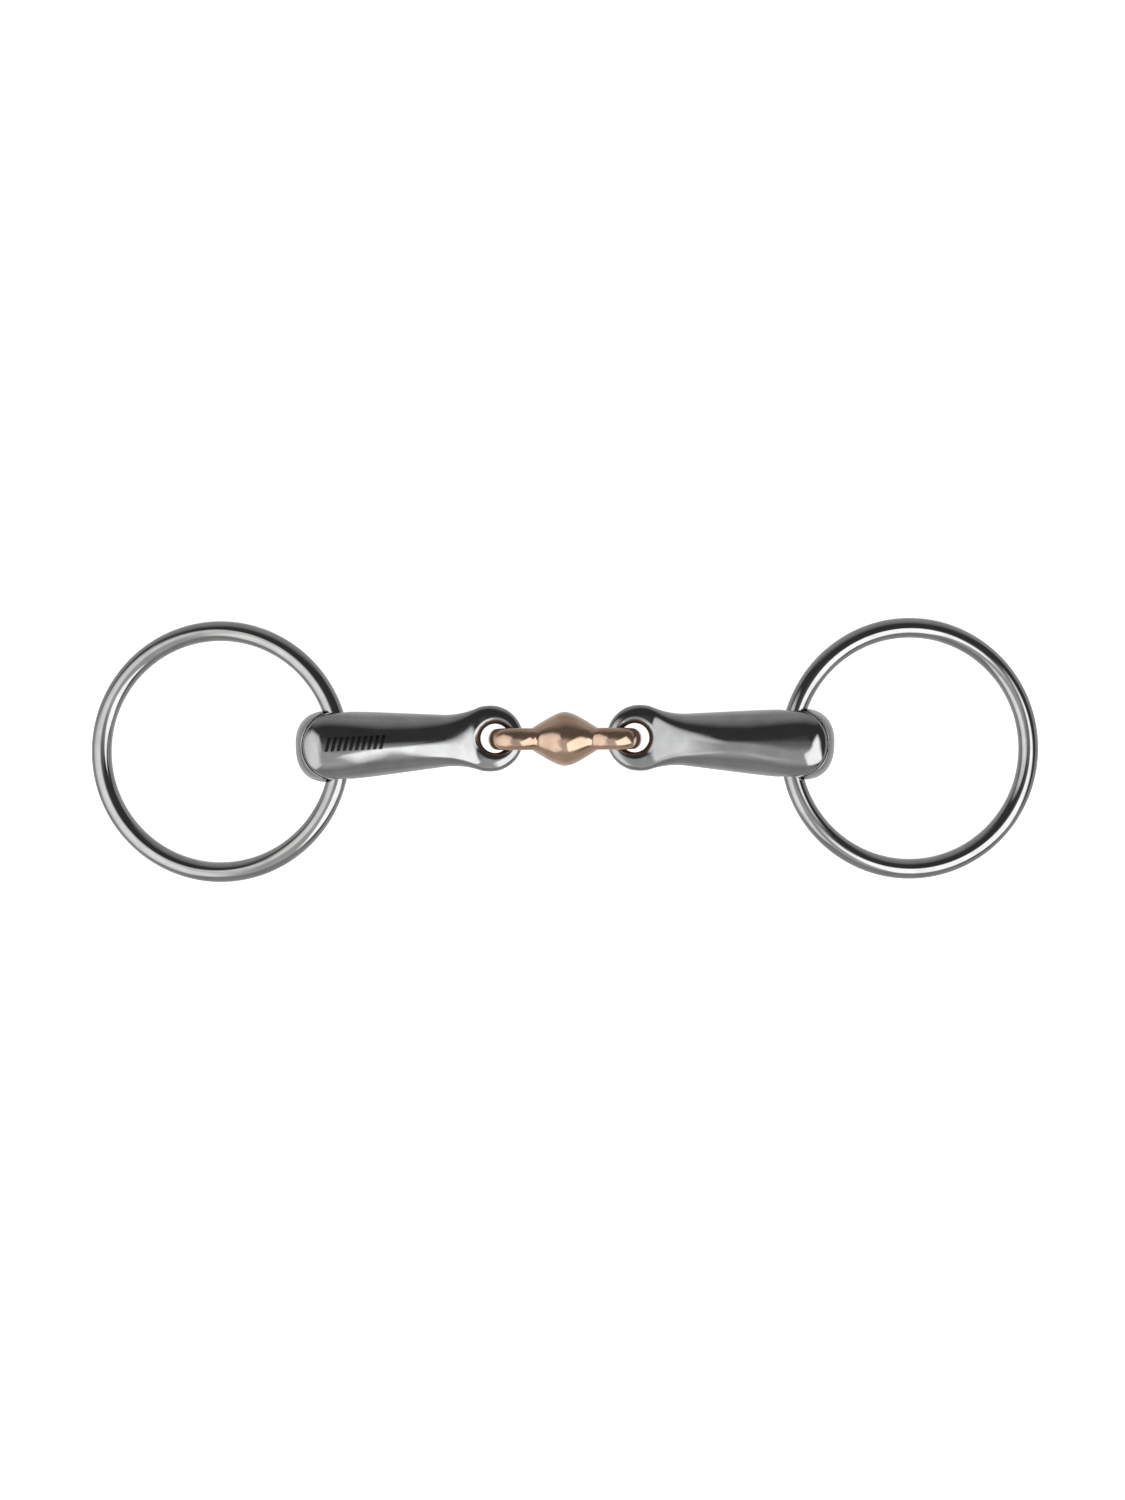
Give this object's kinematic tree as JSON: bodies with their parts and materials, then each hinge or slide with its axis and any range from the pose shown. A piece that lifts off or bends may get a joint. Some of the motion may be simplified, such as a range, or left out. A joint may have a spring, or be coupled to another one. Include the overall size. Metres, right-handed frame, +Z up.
{
  "type": "snaffle bit",
  "caption": "Loose-ring snaffle bit with thick hollow tapered steel cannons and a copper-coloured lozenge link, rings and both mouth joints hinged.",
  "frame": {"origin": "on the table that the bit lies on, under the middle of the bit", "axes": "+X along the bit towards the right ring, +Z up from the table, +Y across the bit towards the side that the cannons' middle joints lie on"},
  "size_m": [0.3006, 0.0826, 0.0213],
  "materials": {
    "polished_steel": "polished",
    "strap_steel": "polished",
    "ring_steel": "polished",
    "copper_alloy": "polished"
  },
  "bodies": {
    "link": {"lozenge_link": "copper_alloy"},
    "left_side": {"left_cannon": "polished_steel", "left_end_strap": "strap_steel"},
    "right_side": {"right_cannon": "polished_steel", "right_end_strap": "strap_steel"},
    "left_ring": {"left_ring": "ring_steel"},
    "right_ring": {"right_ring": "ring_steel"}
  },
  "joints": [
    {"name": "left_fold", "type": "hinge", "parent": "link", "child": "left_side", "pos_m": [-0.01535, 0.0041, 0.0081], "axis": [-0.0436, 0.999, 0], "range_deg": [-40, 40]},
    {"name": "right_fold", "type": "hinge", "parent": "link", "child": "right_side", "pos_m": [0.01535, 0.0041, 0.0081], "axis": [-0.0436, -0.999, 0], "range_deg": [-40, 40]},
    {"name": "left_ring_swing", "type": "hinge", "parent": "left_side", "child": "left_ring", "pos_m": [-0.07209, 0.00162, 0.01052], "axis": [-0.0436, 0.999, 0], "range_deg": [-90, 90]},
    {"name": "right_ring_swing", "type": "hinge", "parent": "right_side", "child": "right_ring", "pos_m": [0.07209, 0.00162, 0.01052], "axis": [-0.0436, -0.999, 0], "range_deg": [-90, 90]}
  ]
}
